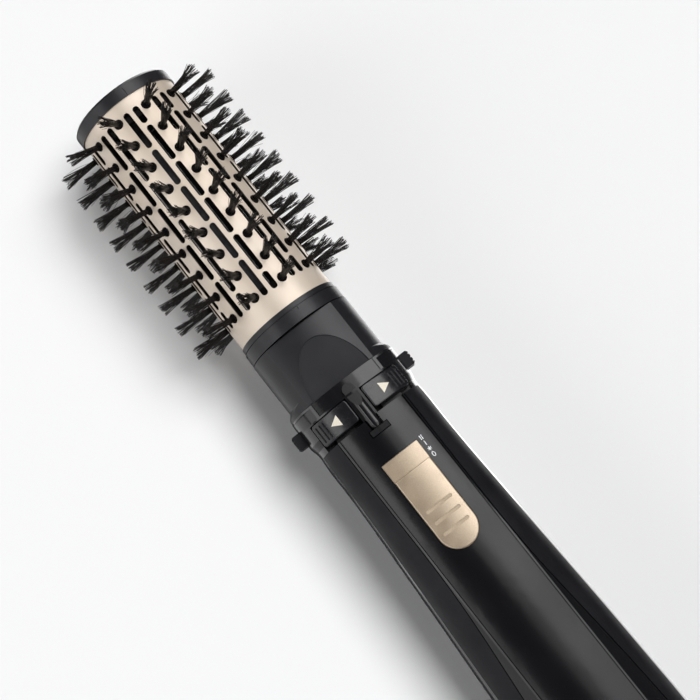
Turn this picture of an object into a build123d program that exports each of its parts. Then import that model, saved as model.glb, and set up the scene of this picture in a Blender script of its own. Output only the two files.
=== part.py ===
from build123d import *
from math import cos, radians, sin, sqrt
import os

# A rotating hot air brush, lying on its bristles and on the flat of its rear belly.
# +X runs from the cord end to the brush tip, +Y to the left, +Z up through the heat switch.
# The origin is under the middle of the whole object, on the surface that it lies on.
# All sizes are in millimetres, and heights named *_H are measured from the brush axis.

# ---------------------------------------------------------------- driving dimensions
TOTAL_LENGTH = 380.0
TIP_X = TOTAL_LENGTH / 2
REAR_X = -TOTAL_LENGTH / 2

BARREL_R = 21.0
BARREL_WALL = 0.8
BARREL_FRONT = TIP_X - 5.5
BARREL_REAR = BARREL_FRONT - 100.5

ROWS = 10
ROW_STEP = 360 / ROWS
FIRST_ROW = ROW_STEP / 2
TUFTS_PER_ROW = 9
TUFT_PITCH = 10.5
TUFT_MIDDLE_X = 136.0
TUFT_TIP_R = 36.0
TUFT_ROOT_HALF = 1.1
TUFT_TIP_HALF = 2.4
BOSS_HALF = 1.7
BOSS_TOP_R = BARREL_R + 0.4
HOLE_HALF = 1.95

SLOT_LENGTH = 16.4
SHORT_SLOT_LENGTH = 7.7
SLOT_WIDTH = 2.6
SLOT_PITCH = 17.8
SLOT_MIDDLE_X = 135.8
SLOT_LINE_ANGLE = ROW_STEP / 3

COLLAR_REAR = BARREL_REAR - 7.5
SLEEVE_R = 22.0
SLEEVE_REAR = 50.2
FACET_TOP_H = 18.8
FACET_CROWN_R = 43.0
ARCH_FRONT = 69.5
ARCH_MIDDLE_X = 48.0
ARCH_HALF_WIDTH = 13.2
ARCH_FRONT_H = 18.2
ARCH_REAR_H = 15.9
EAR_R = 23.7
EAR_HEIGHT = 20.0
EAR_FRONT = 54.1
EAR_FACE = 51.4

RING_R = 23.9
RING_REAR = 32.6
RING_TOP_H = 21.0
RING_CROWN_R = 34.0
BAND_REAR = 44.4
BAND_TOP_H = 19.0
BAND_CROWN_R = 40.0
BAND_LINE_Y = 14.1
RECESS_Y = 15.4
RECESS_HEIGHT = 20.8
SPIGOT_REAR = 44.6
SPIGOT_R = 19.0
SPIGOT_TOP_H = 17.1
SPIGOT_WALL = 1.8
SPIGOT_CLEARANCE = 0.3
RING_BORE_R = 15.5

BUTTON_FRONT = 43.5
BUTTON_REAR = 34.1
BUTTON_INNER_Y = 3.5
BUTTON_LEG_Y = 15.2
BUTTON_OUTER_Y = 19.4
BUTTON_TOP_H = 22.0
BUTTON_CROWN_R = 30.0
BUTTON_BOTTOM_H = 15.3
BUTTON_LEG_BOTTOM_H = 10.0
BUTTON_GROOVES = (15.2, 16.7, 18.2)
BUTTON_GAP = 0.3
POCKET_FLOOR_H = 14.1
POCKET_LEG_FLOOR_H = 8.6

RIB_WIDTH = 4.8
RIB_FRONT = 48.2
RIB_SLOPE_REAR = 38.0
RIB_REAR = 27.4
RIB_TOP_H = 23.0
RIB_TAIL_BOTTOM_H = 19.6

TAB_SIZE = 6.0
TAB_MIDDLE_X = 43.2
TAB_OUTER_Y = 27.5

PANEL_HALF_WIDTH = 14.2
PANEL_GAP = 0.3
EDGE_STRIP = 0.75
GRIP_GAP = 0.3
PANEL_THICK = 1.6
SHELL_THICK = 3.4
PANEL_REAR = -150.0
CAP_FRONT = -165.0
GRIP_BOTTOM_H = 7.0

SWITCH_HALF_WIDTH = 7.9
SLIDER_FRONT = 8.0
SLIDER_REAR = -26.0
SWITCH_TRAVEL = 7.8
SLIDER_TOP_H = 23.3
SLIDER_BOTTOM_H = 21.5

SHAFT_FRONT = 72.0
SHAFT_R = 3.5
HEX_ACROSS = 6.0
GEAR_MODULE = 0.4
GEAR_TEETH = 40
PINION_TEETH = 10
GEAR_CENTRES = GEAR_MODULE * (GEAR_TEETH + PINION_TEETH) / 2
GEAR_FRONT = -26.0
GEAR_REAR = -32.0

FAN_AXIS_H = -3.0
DUCT_R = 20.6

# The tip of a tuft in the lowest two rows just touches the surface.
AXIS_Z = TUFT_TIP_R * cos(radians(FIRST_ROW)) + TUFT_TIP_HALF * sin(radians(FIRST_ROW))
AXIS = Axis((0, 0, AXIS_Z), (1, 0, 0))
PROFILE = Plane(origin=(0, 0, AXIS_Z), x_dir=(1, 0, 0), z_dir=(0, -1, 0))

os.makedirs("parts", exist_ok=True)


# ---------------------------------------------------------------- planes and shared shapes
def section(x, height=0.0):
    """A plane across the object at x, facing the tip, with its origin above the axis."""
    return Plane(origin=(x, 0, AXIS_Z + height), x_dir=(0, 1, 0), z_dir=(1, 0, 0))


def plan(height):
    """A level plane at a height above the axis, seen from above."""
    return Plane.XY.offset(AXIS_Z + height)


def radial(x, angle, radius):
    """A plane that touches a cylinder about the axis, angle degrees left of the top."""
    across, up = sin(radians(angle)), cos(radians(angle))
    origin = (x, radius * across, AXIS_Z + radius * up)
    return Plane(origin=origin, x_dir=(1, 0, 0), z_dir=(0, across, up))


def tube(x_rear, x_front, outer, inner=0.0, height=0.0, mode=Mode.ADD):
    """A round tube along X, solid when inner is 0."""
    with BuildSketch(section(x_rear, height)) as ring:
        Circle(outer)
        if inner:
            Circle(inner, mode=Mode.SUBTRACT)
    extrude(ring.sketch, amount=x_front - x_rear, mode=mode)


def slab(x_rear, x_front, y_low, y_high, low, high, mode=Mode.ADD):
    """A box between two corners, with heights above the axis."""
    with BuildSketch(plan(low)) as base:
        with Locations(((x_rear + x_front) / 2, (y_low + y_high) / 2)):
            Rectangle(x_front - x_rear, y_high - y_low)
    extrude(base.sketch, amount=high - low, mode=mode)


def turned(points, mode=Mode.ADD):
    """A solid of revolution about the axis, from (x, radius) points."""
    with BuildSketch(PROFILE) as shape:
        with BuildLine():
            Polyline(*points, close=True)
        make_face()
    revolve(shape.sketch, axis=AXIS, mode=mode)


def crowned(x_rear, x_front, top, crown, thick=0.0, mode=Mode.ADD):
    """A bar along X whose top is an arc of radius crown, or a curved sheet of it."""
    with BuildSketch(section(x_rear, top - crown)) as arch:
        Circle(crown)
        if thick:
            Circle(crown - thick, mode=Mode.SUBTRACT)
    extrude(arch.sketch, amount=x_front - x_rear, mode=mode)


def coil(start, direction, radius, pitch, length, wire):
    """A round wire wound into a helix."""
    with BuildLine() as path:
        Helix(pitch, length, radius, center=start, direction=direction)
    with BuildSketch(Plane(path.line @ 0, z_dir=path.line % 0)) as wire_section:
        Circle(wire)
    sweep(wire_section.sketch, path.line, is_frenet=True)


# Handle stations: x, half width, top, bottom, height of the upper seam below the top.
STATIONS = (
    (RING_REAR, 23.1, 22.0, 22.6, 3.3),
    (5.0, 23.65, 22.0, 23.6, 3.3),
    (-30.0, 25.25, 22.1, 26.0, 3.3),
    (-70.0, 27.25, 23.2, 29.6, 3.2),
    (-110.0, 28.6, 25.2, 34.0, 3.1),
    (-140.0, 29.2, 26.0, 36.2, 3.1),
    (CAP_FRONT, 27.8, 25.0, 33.8, 3.4),
    (-178.0, 23.8, 21.4, 28.2, 3.9),
)
STATION_SPACING = 14.0
END_X = -187.0
END_STATION = (20.0, 18.0, 23.0, 4.2)
SEAM_Y = 15.2
KEEL_Y = 14.0
KEEL_RISE = 4.0


def outline(x, half, top, bottom, drop, inset):
    """One cross-section of the handle: a crown, two bellied sides and a rounded keel."""
    narrow = half / STATIONS[3][1]
    seam = (min(SEAM_Y, SEAM_Y * narrow * 1.08) - 0.55 * inset, top - drop - 0.85 * inset)
    keel = (KEEL_Y * narrow - 0.6 * inset, -(bottom - KEEL_RISE - 0.8 * inset))
    with BuildSketch(section(x)) as shape:
        with BuildLine():
            ThreePointArc((-seam[0], seam[1]), (0, top - inset), seam)
            ThreePointArc(seam, (half - inset, 1.0), keel)
            ThreePointArc(keel, (0, -(bottom - inset)), (-keel[0], keel[1]))
            ThreePointArc((-keel[0], keel[1]), (-(half - inset), 1.0), (-seam[0], seam[1]))
        make_face()
    return shape.sketch


def handle_form(inset):
    """The handle's outer form, or the same form shrunk by a wall."""
    faces = []
    for front, rear in zip(STATIONS, STATIONS[1:]):
        steps = max(1, round((front[0] - rear[0]) / STATION_SPACING))
        for step in range(steps):
            part_way = step / steps
            values = [a + (b - a) * part_way for a, b in zip(front, rear)]
            faces.append(outline(*values, inset))
    faces.append(outline(*STATIONS[-1], inset))
    faces.append(outline(END_X + 0.7 * inset, *END_STATION, inset))
    with BuildPart() as form:
        loft(faces)
    return form.part


OUTER_FORM = handle_form(0.0)
PANEL_FORM = handle_form(PANEL_THICK)
INNER_FORM = handle_form(SHELL_THICK)


# ---------------------------------------------------------------- brush head
def row_angle(row):
    return FIRST_ROW + ROW_STEP * row


with BuildPart() as barrel:
    tube(BARREL_REAR, BARREL_FRONT, BARREL_R, BARREL_R - BARREL_WALL)
    for row in range(ROWS):
        with BuildSketch(radial(TUFT_MIDDLE_X, row_angle(row), BARREL_R)):
            with GridLocations(TUFT_PITCH, 1, TUFTS_PER_ROW, 1):
                Circle(HOLE_HALF)
        with BuildSketch(radial(SLOT_MIDDLE_X, row_angle(row) - SLOT_LINE_ANGLE, BARREL_R)):
            with GridLocations(SLOT_PITCH, 1, 5, 1):
                SlotOverall(SLOT_LENGTH, SLOT_WIDTH)
        with BuildSketch(radial(SLOT_MIDDLE_X, row_angle(row) - 2 * SLOT_LINE_ANGLE, BARREL_R)):
            with GridLocations(SLOT_PITCH, 1, 4, 1):
                SlotOverall(SLOT_LENGTH, SLOT_WIDTH)
            with GridLocations(4.5 * SLOT_PITCH, 1, 2, 1):
                SlotOverall(SHORT_SLOT_LENGTH, SLOT_WIDTH)
    extrude(amount=2.5, both=True, mode=Mode.SUBTRACT)
barrel.part.label = "barrel"
export_step(barrel.part, "parts/barrel.step")

CAGE_REAR = BARREL_REAR + 1.0
CAGE_FRONT = BARREL_FRONT - 6.2
with BuildPart() as bristle_cage:
    tube(CAGE_REAR, CAGE_REAR + 3.0, 19.9, 17.2)
    tube(CAGE_FRONT - 2.5, CAGE_FRONT, 19.9, 17.2)
    for row in range(ROWS):
        with BuildSketch(radial((CAGE_REAR + CAGE_FRONT) / 2, row_angle(row), 17.4)) as bar:
            Rectangle(CAGE_FRONT - CAGE_REAR, 4.6)
        extrude(bar.sketch, amount=2.3)
        with BuildSketch(radial(TUFT_MIDDLE_X, row_angle(row), 19.0)) as bosses:
            with GridLocations(TUFT_PITCH, 1, TUFTS_PER_ROW, 1):
                Circle(BOSS_HALF)
        extrude(bosses.sketch, amount=BOSS_TOP_R - 19.0)
bristle_cage.part.label = "bristle_cage"
export_step(bristle_cage.part, "parts/bristle_cage.step")

for row in range(ROWS):
    with BuildPart() as tuft_row:
        with Locations(radial(TUFT_MIDDLE_X, row_angle(row), BOSS_TOP_R)):
            with GridLocations(TUFT_PITCH, 1, TUFTS_PER_ROW, 1):
                Cone(
                    TUFT_ROOT_HALF,
                    TUFT_TIP_HALF,
                    TUFT_TIP_R - BOSS_TOP_R,
                    align=(Align.CENTER, Align.CENTER, Align.MIN),
                )
    tuft_row.part.label = f"bristle_row_{row + 1:02d}"
    export_step(tuft_row.part, f"parts/bristle_row_{row + 1:02d}.step")

CAP_R = 21.7
CAP_FACE = TIP_X - 1.6
NOTCH_ANGLE = 98
with BuildPart() as end_cap:
    turned(
        [
            (BARREL_FRONT - 4.6, 18.0),
            (BARREL_FRONT - 4.6, 20.0),
            (BARREL_FRONT, 20.0),
            (BARREL_FRONT, CAP_R),
            (TIP_X - 1.0, CAP_R),
            (TIP_X, CAP_R - 1.0),
            (TIP_X, 18.2),
            (CAP_FACE, 17.0),
            (CAP_FACE, 6.0),
            (TIP_X - 0.6, 5.0),
            (TIP_X - 0.6, 0.0),
            (TIP_X - 4.2, 0.0),
            (TIP_X - 4.2, 18.0),
        ]
    )
    with BuildSketch(section(BARREL_FRONT)) as notches:
        with PolarLocations(CAP_R, 4, start_angle=NOTCH_ANGLE):
            Rectangle(0.7, 0.5)
    extrude(notches.sketch, amount=3.6, mode=Mode.SUBTRACT)
    with BuildSketch(section(TIP_X - 4.2)) as dish_grooves:
        with PolarLocations(11.5, 12, start_angle=15):
            SlotOverall(7.0, 1.2)
    extrude(dish_grooves.sketch, amount=4.2, mode=Mode.SUBTRACT)
    tube(TIP_X - 4.3, TIP_X, 1.3, mode=Mode.SUBTRACT)
    tube(TIP_X - 2.4, TIP_X, 2.6, mode=Mode.SUBTRACT)
end_cap.part.label = "end_cap"
export_step(end_cap.part, "parts/end_cap.step")

SPINDLE_FRONT = TIP_X - 4.2
with BuildPart() as head_spindle:
    tube(90.0, SPINDLE_FRONT, 3.0)
    tube(SPINDLE_FRONT - 9.0, SPINDLE_FRONT, 1.25, mode=Mode.SUBTRACT)
head_spindle.part.label = "head_spindle"
export_step(head_spindle.part, "parts/head_spindle.step")

with BuildPart() as cap_screw:
    tube(SPINDLE_FRONT - 7.0, TIP_X - 2.4, 1.2)
    tube(TIP_X - 2.4, TIP_X - 0.9, 2.4)
    slab(TIP_X - 1.6, TIP_X - 0.9, -1.7, 1.7, -0.3, 0.3, mode=Mode.SUBTRACT)
    slab(TIP_X - 1.6, TIP_X - 0.9, -0.3, 0.3, -1.7, 1.7, mode=Mode.SUBTRACT)
cap_screw.part.label = "cap_screw"
export_step(cap_screw.part, "parts/cap_screw.step")

COLLAR_STEP = COLLAR_REAR + 3.8
COLLAR_R = 21.8
COLLAR_BORE_R = 18.7
PAD_FRONT = BARREL_REAR - 2.0
COLLAR_GROOVE = 0.5
GROOVE_FLOOR_R = 20.9
with BuildPart() as rear_collar:
    tube(COLLAR_REAR, COLLAR_STEP, COLLAR_R, COLLAR_BORE_R)
    tube(COLLAR_STEP, BARREL_REAR, 21.35, COLLAR_BORE_R)
    with BuildSketch(section(COLLAR_STEP)) as pads:
        with PolarLocations(0, 4, start_angle=NOTCH_ANGLE + 45):
            Polygon((0, 0), (30, -27.5), (30, 27.5), align=None)
        Circle(21.75, mode=Mode.INTERSECT)
        Circle(20.0, mode=Mode.SUBTRACT)
    extrude(pads.sketch, amount=PAD_FRONT - COLLAR_STEP)
    tube(PAD_FRONT - COLLAR_GROOVE, PAD_FRONT, 22.5, GROOVE_FLOOR_R, mode=Mode.SUBTRACT)
rear_collar.part.label = "rear_collar"
export_step(rear_collar.part, "parts/rear_collar.step")

JOURNAL_R = 9.0
JOURNAL_REAR = 65.5
CLIP_REAR = 67.0
with BuildPart() as drive_hub:
    tube(BARREL_REAR - 5.0, BARREL_REAR, 18.6, 16.6)
    tube(BARREL_REAR, BARREL_REAR + 0.9, 20.1, 16.6)
    turned(
        [
            (JOURNAL_REAR, 0.0),
            (JOURNAL_REAR, JOURNAL_R - 0.6),
            (JOURNAL_REAR + 0.6, JOURNAL_R),
            (CLIP_REAR, JOURNAL_R),
            (CLIP_REAR, 8.3),
            (CLIP_REAR + 1.2, 8.3),
            (CLIP_REAR + 1.2, JOURNAL_R),
            (BARREL_REAR - 7.0, JOURNAL_R),
            (BARREL_REAR - 7.0, 11.0),
            (BARREL_REAR - 5.0, 11.0),
            (BARREL_REAR - 5.0, 7.0),
            (98.0, 5.5),
            (98.0, 0.0),
        ]
    )
    with BuildSketch(section(BARREL_REAR - 5.0)) as spokes:
        with PolarLocations(11.5, 6):
            Rectangle(11.5, 1.8)
    extrude(spokes.sketch, amount=4.0)
    with BuildSketch(section(JOURNAL_REAR)) as socket:
        RegularPolygon(HEX_ACROSS / 2 + 0.06, 6, major_radius=False)
    extrude(socket.sketch, amount=9.0, mode=Mode.SUBTRACT)
    tube(90.0, 98.0, 3.0, mode=Mode.SUBTRACT)
drive_hub.part.label = "drive_hub"
export_step(drive_hub.part, "parts/drive_hub.step")

with BuildPart() as journal_clip:
    tube(CLIP_REAR + 0.1, CLIP_REAR + 1.1, 10.6, 8.35)
    slab(CLIP_REAR, CLIP_REAR + 1.2, -2.5, 2.5, 0, 12, mode=Mode.SUBTRACT)
journal_clip.part.label = "journal_clip"
export_step(journal_clip.part, "parts/journal_clip.step")


# ---------------------------------------------------------------- neck sleeve
BUSH_REAR = 68.6
BUSH_FRONT = BARREL_REAR - 7.3
SLEEVE_FRONT = COLLAR_REAR - 0.4
HOLLOW_R = 19.8
HOLLOW_TOP_H = 14.4
SHOULDER_R = 20.6
SHOULDER_FRONT = SLEEVE_REAR + 2.0

with BuildPart() as sleeve_hollow:
    tube(SHOULDER_FRONT, SLEEVE_FRONT, HOLLOW_R)
    crowned(SHOULDER_FRONT, SLEEVE_FRONT, HOLLOW_TOP_H, FACET_CROWN_R, mode=Mode.INTERSECT)

with BuildPart() as spigot_hollow:
    tube(SPIGOT_REAR, SHOULDER_FRONT, SPIGOT_R - SPIGOT_WALL)
    crowned(SPIGOT_REAR, SHOULDER_FRONT, SPIGOT_TOP_H - SPIGOT_WALL, BAND_CROWN_R, mode=Mode.INTERSECT)

with BuildPart() as spigot:
    tube(SPIGOT_REAR, SLEEVE_REAR, SPIGOT_R)
    crowned(SPIGOT_REAR, SLEEVE_REAR, SPIGOT_TOP_H, BAND_CROWN_R, mode=Mode.INTERSECT)

with BuildPart() as ears:
    turned(
        [
            (SLEEVE_REAR, SHOULDER_R),
            (SLEEVE_REAR, EAR_R),
            (EAR_FACE, EAR_R),
            (EAR_FRONT, SLEEVE_R - 0.2),
            (EAR_FRONT, SHOULDER_R),
        ]
    )
    with BuildSketch(section(SLEEVE_REAR)) as ear_outline:
        Ellipse(EAR_R + 0.02, EAR_HEIGHT)
    extrude(ear_outline.sketch, amount=EAR_FRONT - SLEEVE_REAR, mode=Mode.INTERSECT)

with BuildPart() as arch_scoop:
    with BuildSketch(plan(ARCH_REAR_H - 4)) as arch:
        with Locations((ARCH_MIDDLE_X, 0)):
            Ellipse(ARCH_FRONT - ARCH_MIDDLE_X, ARCH_HALF_WIDTH)
    extrude(arch.sketch, amount=12)
    with BuildSketch(PROFILE) as above_slope:
        Polygon(
            (SLEEVE_REAR, ARCH_REAR_H),
            (ARCH_FRONT + 1, ARCH_FRONT_H),
            (ARCH_FRONT + 1, 30),
            (SLEEVE_REAR, 30),
            align=None,
        )
    extrude(above_slope.sketch, amount=20, both=True, mode=Mode.INTERSECT)

with BuildPart() as neck_sleeve:
    tube(SLEEVE_REAR, SLEEVE_FRONT, SLEEVE_R)
    add(ears.part)
    add(sleeve_hollow.part, mode=Mode.SUBTRACT)
    tube(BUSH_REAR, BUSH_FRONT - 2.0, 12.0, 10.3)
    with BuildSketch(section(BUSH_REAR)) as arms:
        with PolarLocations(16.0, 4, start_angle=45):
            Rectangle(8.6, 2.0)
    extrude(arms.sketch, amount=BUSH_FRONT - 2.0 - BUSH_REAR)
    crowned(SLEEVE_REAR, SLEEVE_FRONT, FACET_TOP_H, FACET_CROWN_R, mode=Mode.INTERSECT)
    add(spigot.part)
    add(spigot_hollow.part, mode=Mode.SUBTRACT)
    add(arch_scoop.part, mode=Mode.SUBTRACT)
neck_sleeve.part.label = "neck_sleeve"
export_step(neck_sleeve.part, "parts/neck_sleeve.step")

with BuildPart() as neck_bush:
    tube(BUSH_REAR, BUSH_FRONT - 2.0, 10.28, JOURNAL_R + 0.05)
neck_bush.part.label = "neck_bush"
export_step(neck_bush.part, "parts/neck_bush.step")


# ---------------------------------------------------------------- control ring
BUTTON_STEM_X = 38.8
BUTTON_STEM_Y = 9.0
SPRING_X = 41.2
BORE_FRONT = SLEEVE_REAR - 0.2
BAR_X = 38.0

with BuildPart() as spigot_bore:
    tube(SPIGOT_REAR - 0.3, BORE_FRONT, SPIGOT_R + SPIGOT_CLEARANCE)
    top = SPIGOT_TOP_H + SPIGOT_CLEARANCE
    crowned(SPIGOT_REAR - 0.3, BORE_FRONT, top, BAND_CROWN_R, mode=Mode.INTERSECT)

with BuildPart() as recesses:
    with BuildSketch(section(BAND_REAR)) as around:
        Circle(RING_R + 1)
        Ellipse(RING_R + 0.05, RECESS_HEIGHT, mode=Mode.SUBTRACT)
    extrude(around.sketch, amount=BORE_FRONT - 0.8 - BAND_REAR)
    slab(BAND_REAR, BORE_FRONT, -RECESS_Y, RECESS_Y, -30, 30, mode=Mode.SUBTRACT)
    slab(BAND_REAR, BORE_FRONT, -30, 30, -30, 0.0, mode=Mode.SUBTRACT)

with BuildPart() as rib:
    with BuildSketch(plan(POCKET_FLOOR_H - 1)) as rib_plan:
        with Locations(((RIB_FRONT + RIB_REAR) / 2, 0)):
            SlotOverall(RIB_FRONT - RIB_REAR, RIB_WIDTH)
    extrude(rib_plan.sketch, amount=RIB_TOP_H - POCKET_FLOOR_H + 1)
    fillet(rib.edges().group_by(Axis.Z)[-1], radius=RIB_WIDTH / 2 - 0.2)
    with BuildSketch(PROFILE) as rib_slope:
        Polygon(
            (RIB_FRONT + 0.4, BAND_TOP_H),
            (RIB_SLOPE_REAR, RIB_TOP_H + 0.1),
            (RIB_FRONT + 0.4, RIB_TOP_H + 0.1),
            align=None,
        )
    extrude(rib_slope.sketch, amount=5, both=True, mode=Mode.SUBTRACT)
    slab(RIB_REAR - 2, RING_REAR, -5, 5, 10, RIB_TAIL_BOTTOM_H, mode=Mode.SUBTRACT)
    slab(RIB_REAR - 1.6, RIB_REAR + 0.6, -3.9, 3.9, RIB_TAIL_BOTTOM_H, 22.7)

with BuildPart() as control_ring:
    turned(
        [
            (RING_REAR, RING_BORE_R),
            (RING_REAR, 23.0),
            (RING_REAR + 2.6, 23.1),
            (RING_REAR + 5.6, RING_R),
            (BORE_FRONT, RING_R),
            (BORE_FRONT, RING_BORE_R),
        ]
    )
    crowned(RING_REAR, BORE_FRONT, RING_TOP_H, RING_CROWN_R, mode=Mode.INTERSECT)
    with BuildSketch(section(BAND_REAR)) as above_band:
        with Locations((0, 30)):
            Rectangle(60, 60)
        with Locations((0, BAND_TOP_H - BAND_CROWN_R)):
            Circle(BAND_CROWN_R, mode=Mode.SUBTRACT)
    extrude(above_band.sketch, amount=BORE_FRONT - BAND_REAR, mode=Mode.SUBTRACT)
    add(recesses.part, mode=Mode.SUBTRACT)
    for side in (1, -1):
        ys = sorted((side * (BAND_LINE_Y - 0.18), side * (BAND_LINE_Y + 0.18)))
        slab(BAND_REAR, BORE_FRONT, *ys, 15.9, 30, mode=Mode.SUBTRACT)
        pocket = (RING_REAR - 1, BUTTON_FRONT + BUTTON_GAP)
        ys = sorted((side * (BUTTON_INNER_Y - BUTTON_GAP), side * (BUTTON_OUTER_Y + BUTTON_GAP)))
        slab(*pocket, *ys, POCKET_FLOOR_H, 30, mode=Mode.SUBTRACT)
        ys = sorted((side * (BUTTON_LEG_Y - BUTTON_GAP), side * (BUTTON_OUTER_Y + BUTTON_GAP)))
        slab(*pocket, *ys, POCKET_LEG_FLOOR_H, 30, mode=Mode.SUBTRACT)
        with BuildSketch(plan(0)) as stem_hole:
            with Locations((BUTTON_STEM_X, side * BUTTON_STEM_Y)):
                Circle(1.5)
        extrude(stem_hole.sketch, amount=20, mode=Mode.SUBTRACT)
        knob = (TAB_MIDDLE_X - TAB_SIZE / 2 - 0.2, TAB_MIDDLE_X + TAB_SIZE / 2 + 0.2)
        ys = sorted((side * 19.0, side * 30))
        slab(*knob, *ys, -TAB_SIZE / 2 - 0.2, TAB_SIZE / 2 + 0.2, mode=Mode.SUBTRACT)
        ys = sorted((side * 18.2, side * 21.9))
        slab(BAR_X + 0.2, BAR_X + 6.2, *ys, -4.2, 4.2, mode=Mode.SUBTRACT)
        with BuildSketch(Plane.XZ) as spring_hole:
            with Locations((SPRING_X, AXIS_Z)):
                Circle(2.1)
        extrude(spring_hole.sketch, amount=-side * 18.5, mode=Mode.SUBTRACT)
        ys = sorted((side * 0.0, side * 16.6))
        slab(BAR_X, BAR_X + 6.2, *ys, -2.6, 2.6)
    add(rib.part)
    tube(RING_REAR - 1, SPIGOT_REAR, RING_BORE_R, mode=Mode.SUBTRACT)
    add(spigot_bore.part, mode=Mode.SUBTRACT)
    tube(BAR_X, BAR_X + 3.0, 6.4, 4.3)
    with BuildSketch(section(BAR_X)) as spokes:
        for angle in (0, 180, 270):
            with PolarLocations(10.9, 1, start_angle=angle):
                Rectangle(9.6, 1.8)
    extrude(spokes.sketch, amount=3.0)
control_ring.part.label = "control_ring"
export_step(control_ring.part, "parts/control_ring.step")


def crown_height(y, top, crown):
    return top - crown + sqrt(crown * crown - y * y)


for name, side in (("left", 1), ("right", -1)):
    with BuildPart() as rotate_button:
        ys = sorted((side * BUTTON_INNER_Y, side * BUTTON_OUTER_Y))
        slab(BUTTON_REAR, BUTTON_FRONT, *ys, BUTTON_LEG_BOTTOM_H, 25)
        corner = rotate_button.edges().filter_by(Axis.Z)
        fillet(corner, radius=1.2)
        ys = sorted((side * (BUTTON_INNER_Y - 1), side * BUTTON_LEG_Y))
        slab(BUTTON_REAR, BUTTON_FRONT, *ys, 0, BUTTON_BOTTOM_H, mode=Mode.SUBTRACT)
        crowned(BUTTON_REAR, BUTTON_FRONT, BUTTON_TOP_H, BUTTON_CROWN_R, mode=Mode.INTERSECT)
        rim = rotate_button.faces().filter_by(GeomType.CYLINDER).sort_by(Axis.Z)[-1].edges()
        fillet(rim, radius=0.6)
        for groove_y in BUTTON_GROOVES:
            groove_floor = crown_height(groove_y, BUTTON_TOP_H, BUTTON_CROWN_R) - 0.5
            with BuildSketch(plan(groove_floor)) as groove:
                with Locations(((BUTTON_REAR + BUTTON_FRONT) / 2, side * groove_y)):
                    SlotOverall(6.8, 0.6)
            extrude(groove.sketch, amount=3, mode=Mode.SUBTRACT)
        with BuildSketch(plan(13.5)) as stem:
            with Locations((BUTTON_STEM_X, side * BUTTON_STEM_Y)):
                Circle(1.2)
        extrude(stem.sketch, amount=BUTTON_BOTTOM_H - 13.5 + 0.2)
    rotate_button.part.label = f"rotate_button_{name}"
    export_step(rotate_button.part, f"parts/rotate_button_{name}.step")

with BuildPart() as button_board:
    slab(33.4, 43.8, -10.4, 10.4, 9.3, 10.3)
    for side in (1, -1):
        ys = sorted((side * 7.0, side * 10.1))
        slab(36.6, 41.0, *ys, 10.3, 11.6)
        with BuildSketch(plan(11.6)) as plunger:
            with Locations((BUTTON_STEM_X, side * BUTTON_STEM_Y)):
                Circle(0.8)
        extrude(plunger.sketch, amount=0.7)
button_board.part.label = "button_board"
export_step(button_board.part, "parts/button_board.step")

for name, side in (("left", 1), ("right", -1)):
    with BuildPart() as release_tab:
        half = TAB_SIZE / 2
        ys = sorted((side * 21.4, side * TAB_OUTER_Y))
        slab(TAB_MIDDLE_X - half, TAB_MIDDLE_X + half, *ys, -half, half)
        chamfer(release_tab.faces().sort_by(Axis.Y)[-1 if side > 0 else 0].edges(), length=0.7)
        for ridge in (-1.6, 0.0, 1.6):
            ys = sorted((side * (TAB_OUTER_Y - 0.5), side * (TAB_OUTER_Y + 1)))
            x = TAB_MIDDLE_X + ridge
            slab(x - 0.3, x + 0.3, *ys, -half, half, mode=Mode.SUBTRACT)
        ys = sorted((side * 20.4, side * 21.6))
        slab(38.4, 44.0, *ys, -4.0, 4.0)
    release_tab.part.label = f"release_tab_{name}"
    export_step(release_tab.part, f"parts/release_tab_{name}.step")
    with BuildPart() as release_spring:
        start = Vector(SPRING_X, side * 17.1, AXIS_Z)
        coil(start, (0, side, 0), radius=1.4, pitch=1.0, length=3.0, wire=0.22)
    release_spring.part.label = f"release_spring_{name}"
    export_step(release_spring.part, f"parts/release_spring_{name}.step")


# ---------------------------------------------------------------- handle covers
PLATE_FRONT = SLIDER_FRONT + SWITCH_TRAVEL - 0.1
PLATE_HALF_WIDTH = SWITCH_HALF_WIDTH + 0.15


def switch_outline(x_rear, x_front, half, height):
    """The switch's outline from above: square in front and round behind."""
    with BuildSketch(plan(height)) as shape:
        with Locations(((x_rear + x_front) / 2, 0)):
            SlotOverall(x_front - x_rear, 2 * half)
        with Locations((x_front - half, 0)):
            Rectangle(half, 2 * half, align=(Align.MIN, Align.CENTER))
    return shape.sketch


with BuildPart() as top_panel:
    add(OUTER_FORM)
    add(PANEL_FORM, mode=Mode.SUBTRACT)
    slab(PANEL_REAR, RING_REAR - 0.2, -PANEL_HALF_WIDTH, PANEL_HALF_WIDTH, 8, 40, mode=Mode.INTERSECT)
    extrude(
        switch_outline(SLIDER_REAR - 0.3, PLATE_FRONT + 0.15, PLATE_HALF_WIDTH + 0.15, 10),
        amount=20,
        mode=Mode.SUBTRACT,
    )
    slab(RIB_REAR - 0.3, RING_REAR, -RIB_WIDTH / 2 - 0.3, RIB_WIDTH / 2 + 0.3, 19, 30, mode=Mode.SUBTRACT)
    slab(RIB_REAR - 1.9, RIB_REAR + 0.9, -4.2, 4.2, 19, 30, mode=Mode.SUBTRACT)
top_panel.part.label = "top_panel"
export_step(top_panel.part, "parts/top_panel.step")


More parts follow.
